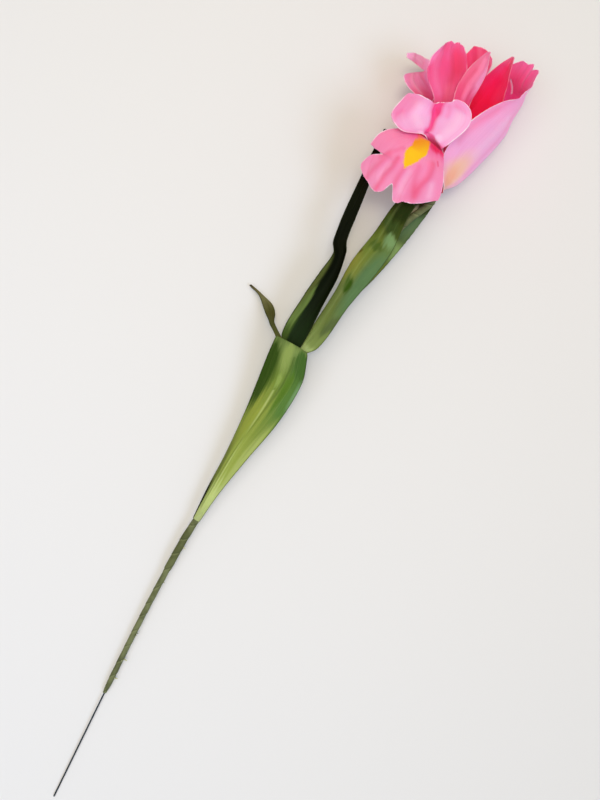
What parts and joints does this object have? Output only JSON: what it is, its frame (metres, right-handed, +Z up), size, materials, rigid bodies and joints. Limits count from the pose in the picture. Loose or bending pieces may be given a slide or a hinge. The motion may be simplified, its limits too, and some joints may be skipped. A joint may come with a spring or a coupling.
{
  "type": "artificial iris flower",
  "caption": "Artificial iris stem with fabric petals and leaves on a tape-wound wire, lying on its side.",
  "frame": {"origin": "on the surface that the flower lies on, under the middle of its outline", "axes": "+Z up; +Y along the stem from the bare wire end to the bloom; +X to the right, seen from above with the bloom at the top"},
  "size_m": [0.1104, 0.6417, 0.0647],
  "materials": {
    "wire": "drawn steel wire, dull dark grey",
    "tape": "stretched crepe paper tape, olive green, matt",
    "core": "moulded plastic, pale green",
    "fall_front": "pink polyester cloth with a printed yellow patch",
    "fall_right": "pale pink polyester cloth with a peach foot",
    "fall_back": "pink polyester cloth",
    "crest_front": "pale pink polyester cloth with a deep pink middle line",
    "crest_inner": "pink polyester cloth",
    "standard_left": "deep pink polyester cloth",
    "standard_front": "pink polyester cloth, paler towards its tip",
    "standard_right": "red-pink polyester cloth",
    "lower_leaf": "coated polyester cloth, light green with dark green shading",
    "upper_leaf": "coated polyester cloth, dark green",
    "sheath_leaf": "coated polyester cloth, olive green with blue-green shading"
  },
  "bodies": {
    "root": {"stem_wire": "wire", "stem_tape": "tape", "flower_core": "core", "fall_front": "fall_front", "fall_right": "fall_right", "fall_back": "fall_back", "crest_front": "crest_front", "crest_right": "crest_inner", "crest_back": "crest_inner", "standard_left": "standard_left", "standard_front": "standard_front", "standard_right": "standard_right", "lower_leaf": "lower_leaf", "upper_leaf": "upper_leaf", "sheath_leaf": "sheath_leaf"}
  },
  "joints": []
}
